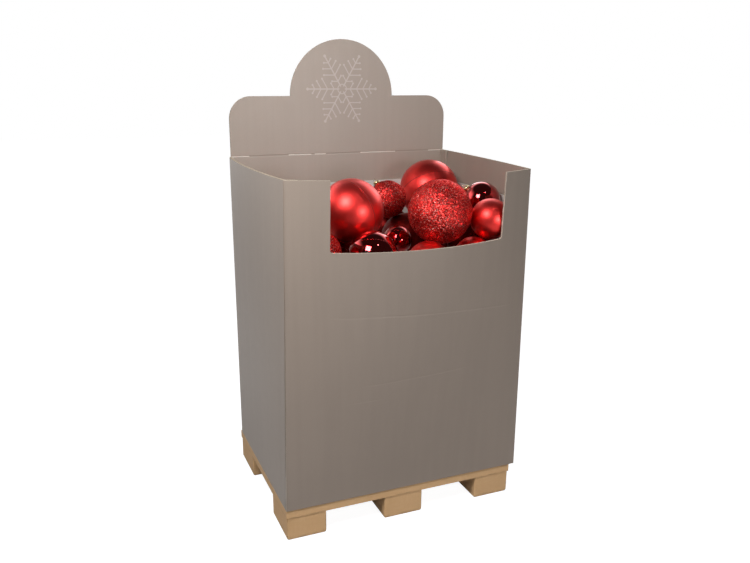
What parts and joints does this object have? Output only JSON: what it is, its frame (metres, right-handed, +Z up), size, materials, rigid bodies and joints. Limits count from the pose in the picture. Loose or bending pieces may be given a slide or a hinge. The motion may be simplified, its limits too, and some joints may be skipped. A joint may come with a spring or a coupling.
{
  "type": "dump-bin display",
  "caption": "Cardboard dump-bin display on a small pallet: printed sleeve with a front cut-out, fold-down header card and a heap of red Christmas baubles.",
  "frame": {"origin": "on the floor, under the middle of the whole display", "axes": "+Z up; -Y towards the customer, who faces the cut-out; +X to that customer's right"},
  "size_m": [0.8359, 0.6781, 1.518],
  "materials": {
    "printed_board": "satin",
    "plain_board": "matt",
    "kraft_board": "matt",
    "satin_red": "satin",
    "glitter_red": "glitter",
    "mirror_red": "mirror",
    "gold_cap": "gold coloured"
  },
  "bodies": {
    "stand": {"pallet_deck_cover": "kraft_board", "pallet_deck_core": "kraft_board", "pallet_foot_front_left": "kraft_board", "pallet_foot_front_middle": "kraft_board", "pallet_foot_front_right": "kraft_board", "pallet_foot_rear_left": "kraft_board", "pallet_foot_rear_middle": "kraft_board", "pallet_foot_rear_right": "kraft_board", "divider_long_front": "plain_board", "divider_long_rear": "plain_board", "divider_cross_left": "plain_board", "divider_cross_right": "plain_board", "false_floor": "plain_board", "sleeve_front_and_right": "printed_board", "sleeve_back_and_left": "printed_board", "mirror_front_bauble": "mirror_red", "mirror_middle_bauble": "mirror_red", "glitter_corner_bauble": "glitter_red", "satin_low_middle_bauble": "satin_red", "satin_low_right_bauble": "satin_red", "buried_left_bauble": "satin_red", "buried_centre_bauble": "satin_red", "buried_back_bauble": "satin_red", "buried_rear_bauble": "satin_red", "buried_right_bauble": "satin_red", "buried_side_left_bauble": "satin_red", "buried_side_right_bauble": "satin_red"},
    "header": {"header_card": "printed_board"},
    "satin_left": {"satin_left_bauble": "satin_red", "satin_left_cap": "gold_cap"},
    "satin_back": {"satin_back_bauble": "satin_red", "satin_back_cap": "gold_cap"},
    "satin_right": {"satin_right_bauble": "satin_red", "satin_right_cap": "gold_cap"},
    "glitter_large": {"glitter_large_bauble": "glitter_red", "glitter_large_cap": "gold_cap"},
    "glitter_small": {"glitter_small_bauble": "glitter_red", "glitter_small_cap": "gold_cap"},
    "mirror_right": {"mirror_right_bauble": "mirror_red", "mirror_right_cap": "gold_cap"}
  },
  "joints": [
    {"name": "header_fold", "type": "hinge", "parent": "stand", "child": "header", "pos_m": [0.01, 0.34, 1.128], "axis": [-1, 0, 0], "range_deg": [0, 178]},
    {"name": "satin_left_lift", "type": "slide", "parent": "stand", "child": "satin_left", "axis": [0, 0, 1], "range_m": [0, 0.3]},
    {"name": "satin_back_lift", "type": "slide", "parent": "stand", "child": "satin_back", "axis": [0, 0, 1], "range_m": [0, 0.3]},
    {"name": "satin_right_lift", "type": "slide", "parent": "stand", "child": "satin_right", "axis": [0, 0, 1], "range_m": [0, 0.3]},
    {"name": "glitter_large_lift", "type": "slide", "parent": "stand", "child": "glitter_large", "axis": [0, 0, 1], "range_m": [0, 0.3]},
    {"name": "glitter_small_lift", "type": "slide", "parent": "stand", "child": "glitter_small", "axis": [0, 0, 1], "range_m": [0, 0.3]},
    {"name": "mirror_right_lift", "type": "slide", "parent": "stand", "child": "mirror_right", "axis": [0, 0, 1], "range_m": [0, 0.3]}
  ]
}
